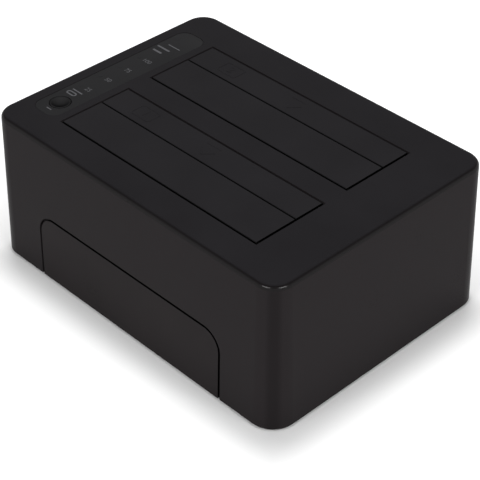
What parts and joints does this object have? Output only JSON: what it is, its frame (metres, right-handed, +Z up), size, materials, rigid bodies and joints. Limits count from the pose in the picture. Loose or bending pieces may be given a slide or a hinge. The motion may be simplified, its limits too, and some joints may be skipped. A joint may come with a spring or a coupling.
{
  "type": "hard drive docking station",
  "caption": "Desktop dock with sprung flap bays for bare hard drives, a copy button and a light strip.",
  "frame": {"origin": "on the floor, under the middle of the housing", "axes": "+X along the long front face to the right, +Y from front to back, +Z up"},
  "size_m": [0.1538, 0.112, 0.0636],
  "materials": {
    "housing": "satin black moulded plastic",
    "panel": "satin black moulded plastic",
    "strip": "printed dark grey film",
    "key": "smooth black plastic",
    "power_key": "smooth black plastic",
    "flap": "satin black moulded plastic",
    "steel": "bright steel",
    "inner_plastic": "black plastic",
    "gold": "gilt contacts",
    "board": "green lacquered circuit board",
    "chip": "moulded black resin",
    "can": "drawn aluminium",
    "shell": "nickel plated shell",
    "clear": "clear moulded plastic",
    "cable": "grey flat cable",
    "foot_rubber": "soft black rubber"
  },
  "bodies": {
    "root": {"top_housing": "housing", "base_plate": "housing", "front_panel": "panel", "control_strip": "strip", "front_bay_wide_pin": "steel", "front_bay_narrow_pin": "steel", "back_bay_wide_pin": "steel", "back_bay_narrow_pin": "steel", "case_screws": "steel", "front_bay_well": "inner_plastic", "back_bay_well": "inner_plastic", "front_bay_socket": "inner_plastic", "back_bay_socket": "inner_plastic", "usb_insulator": "inner_plastic", "dc_jack": "inner_plastic", "power_switch": "inner_plastic", "clone_switch": "inner_plastic", "cable_plugs": "inner_plastic", "front_bay_contacts": "gold", "back_bay_contacts": "gold", "dc_jack_pin": "gold", "main_board": "board", "control_board": "board", "controller_chips": "chip", "inductors": "chip", "capacitors": "can", "crystal": "can", "usb_socket": "shell", "light_guide": "clear", "indicator_lamps": "clear", "flat_cable": "cable", "rubber_feet": "foot_rubber"},
    "front_bay_wide_flap": {"front_bay_wide_flap": "flap", "front_bay_wide_spring": "steel"},
    "front_bay_narrow_flap": {"front_bay_narrow_flap": "flap", "front_bay_narrow_spring": "steel"},
    "back_bay_wide_flap": {"back_bay_wide_flap": "flap", "back_bay_wide_spring": "steel"},
    "back_bay_narrow_flap": {"back_bay_narrow_flap": "flap", "back_bay_narrow_spring": "steel"},
    "clone_button": {"clone_button": "key", "clone_switch_plunger": "inner_plastic"},
    "power_button": {"power_button": "power_key"}
  },
  "joints": [
    {"name": "front_bay_wide_hinge", "type": "hinge", "parent": "root", "child": "front_bay_wide_flap", "pos_m": [0, -0.0379, 0.0619], "axis": [-1, 0, 0], "range_deg": [0, 90], "stiffness_Nm_per_rad": 0.004, "springref_deg": -20.05},
    {"name": "front_bay_narrow_hinge", "type": "hinge", "parent": "root", "child": "front_bay_narrow_flap", "pos_m": [0, -0.0088, 0.0619], "axis": [1, 0, 0], "range_deg": [0, 90], "stiffness_Nm_per_rad": 0.004, "springref_deg": -20.05},
    {"name": "back_bay_wide_hinge", "type": "hinge", "parent": "root", "child": "back_bay_wide_flap", "pos_m": [0, 0.0065, 0.0619], "axis": [-1, 0, 0], "range_deg": [0, 90], "stiffness_Nm_per_rad": 0.004, "springref_deg": -20.05},
    {"name": "back_bay_narrow_hinge", "type": "hinge", "parent": "root", "child": "back_bay_narrow_flap", "pos_m": [0, 0.0356, 0.0619], "axis": [1, 0, 0], "range_deg": [0, 90], "stiffness_Nm_per_rad": 0.004, "springref_deg": -20.05},
    {"name": "clone_press", "type": "slide", "parent": "root", "child": "clone_button", "axis": [0, 0, -1], "range_m": [0, 0.0005], "stiffness_N_per_m": 3000},
    {"name": "power_press", "type": "slide", "parent": "root", "child": "power_button", "axis": [0, -1, 0], "range_m": [0, 0.002], "stiffness_N_per_m": 800}
  ]
}
